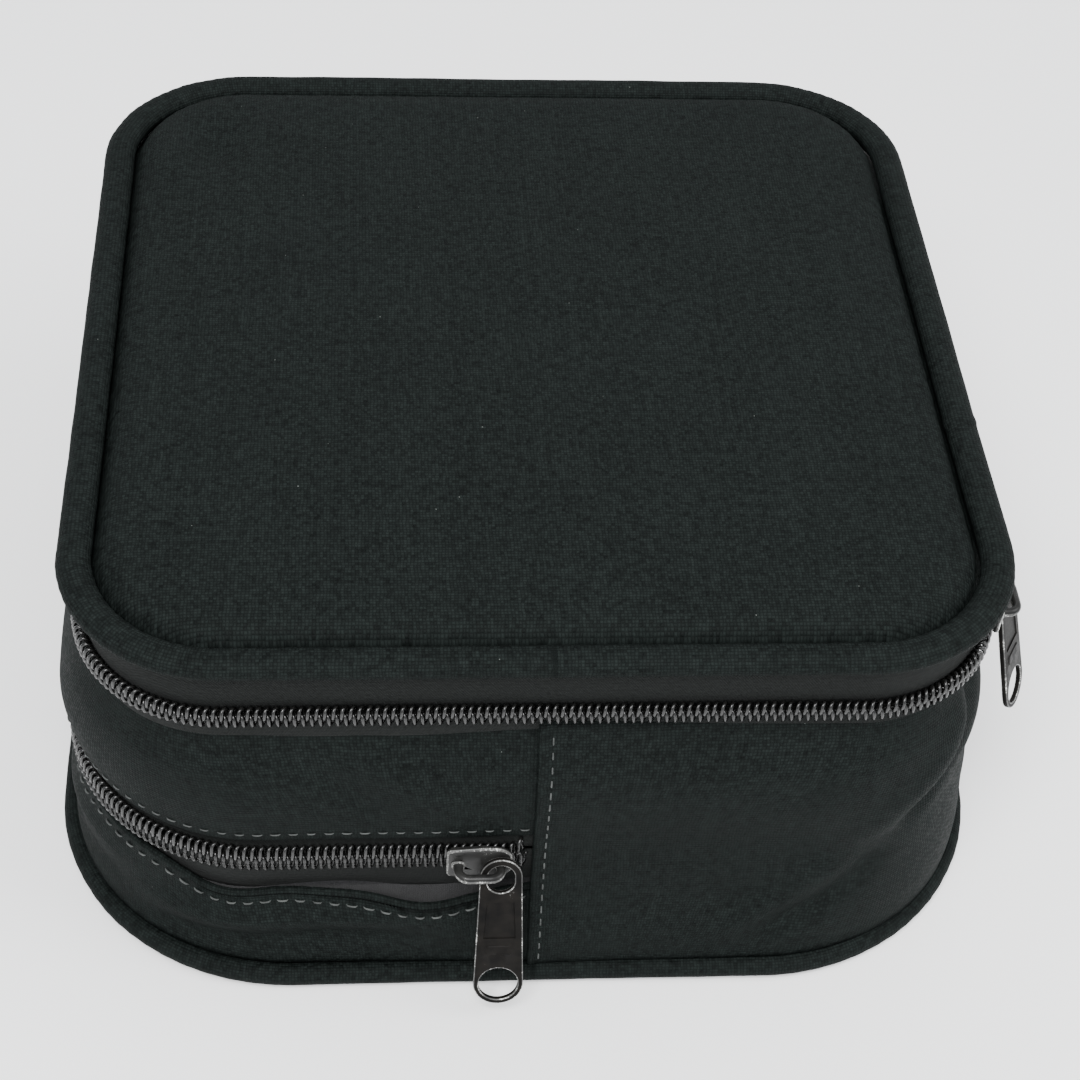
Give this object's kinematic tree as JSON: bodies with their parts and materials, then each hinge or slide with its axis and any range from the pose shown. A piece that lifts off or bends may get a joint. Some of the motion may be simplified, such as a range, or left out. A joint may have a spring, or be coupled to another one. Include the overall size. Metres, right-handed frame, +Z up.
{
  "type": "miniature carry case",
  "caption": "Soft fabric case with rounded corners, a padded piped lid that zips shut, a foam tray for miniatures and a zipped low compartment beneath.",
  "frame": {"origin": "underside of the base at the centre of the plan, on the surface the case stands on", "axes": "+Z up, +X towards the lid's fabric hinge, -Y towards the face with the lower zip's slider"},
  "size_m": [0.1924, 0.2003, 0.0888],
  "materials": {
    "case_fabric": "black coated oxford weave, dull sheen",
    "lining_fabric": "smooth black lining cloth",
    "zip_tape": "brown-black twill tape",
    "zip_coil": "satin black nylon coil",
    "foam": "charcoal open-cell foam",
    "board": "plain stiffener board",
    "piping_cord": "soft plastic filler cord",
    "slider_metal": "black enamel over die-cast zinc, worn bright on the edges",
    "pull_metal": "black enamel, worn bright on the edges"
  },
  "bodies": {
    "base": {"base_cover": "case_fabric", "base_board": "board", "base_lining": "lining_fabric", "base_piping": "case_fabric", "base_piping_cord": "piping_cord", "lower_side_panel": "case_fabric", "hinge_panel_lower": "case_fabric", "lower_lining": "lining_fabric", "lower_zip_tape_bottom": "zip_tape", "lower_zip_coil_bottom": "zip_coil"},
    "upper_case": {"upper_side_panel": "case_fabric", "hinge_panel_upper": "case_fabric", "hinge_band": "case_fabric", "lower_zip_tape_top": "zip_tape", "lower_zip_coil_top": "zip_coil", "divider_underlay": "lining_fabric", "divider_board": "board", "divider_cover": "lining_fabric", "wall_foam": "foam", "case_lining": "lining_fabric", "tray_floor": "foam", "foam_tray": "foam", "main_zip_tape_lower": "zip_tape", "main_zip_coil_lower": "zip_coil", "main_zip_tail_tape": "zip_tape", "main_zip_tail_coil": "zip_coil"},
    "lid": {"lid_piping": "case_fabric", "lid_piping_cord": "piping_cord", "lid_lining": "lining_fabric", "lid_board": "board", "lid_foam": "foam", "lid_cover": "case_fabric", "lid_pad": "foam", "lid_binding": "lining_fabric", "main_zip_tape_upper": "zip_tape", "main_zip_coil_upper": "zip_coil"},
    "main_slider": {"main_slider_body": "slider_metal", "main_slider_bail": "slider_metal"},
    "main_pull": {"main_pull": "pull_metal"},
    "lower_slider": {"lower_slider_body": "slider_metal", "lower_slider_bail": "slider_metal"},
    "lower_pull": {"lower_pull": "pull_metal"}
  },
  "joints": [
    {"name": "upper_case_lift", "type": "hinge", "parent": "base", "child": "upper_case", "pos_m": [0.006, 0, 0.034], "axis": [0, 1, 0], "range_deg": [0, 8]},
    {"name": "lid_hinge", "type": "hinge", "parent": "upper_case", "child": "lid", "pos_m": [0.0872, 0, 0.08185], "axis": [0, 1, 0], "range_deg": [0, 180]},
    {"name": "main_slider_corner", "type": "hinge", "parent": "upper_case", "child": "main_slider", "pos_m": [0.057, -0.0595, 0.071], "axis": [0, 0, 1], "range_deg": [-75, 0]},
    {"name": "main_pull_swing", "type": "hinge", "parent": "main_slider", "child": "main_pull", "pos_m": [0.08935, -0.05577, 0.071], "axis": [0.866, -0.5, 0], "range_deg": [0, 75]},
    {"name": "lower_slider_slide", "type": "slide", "parent": "base", "child": "lower_slider", "axis": [1, 0, 0], "range_m": [-0.038, 0]},
    {"name": "lower_pull_swing", "type": "hinge", "parent": "lower_slider", "child": "lower_pull", "pos_m": [-0.007, -0.09405, 0.034], "axis": [0, -1, 0], "range_deg": [-10, 85]}
  ]
}
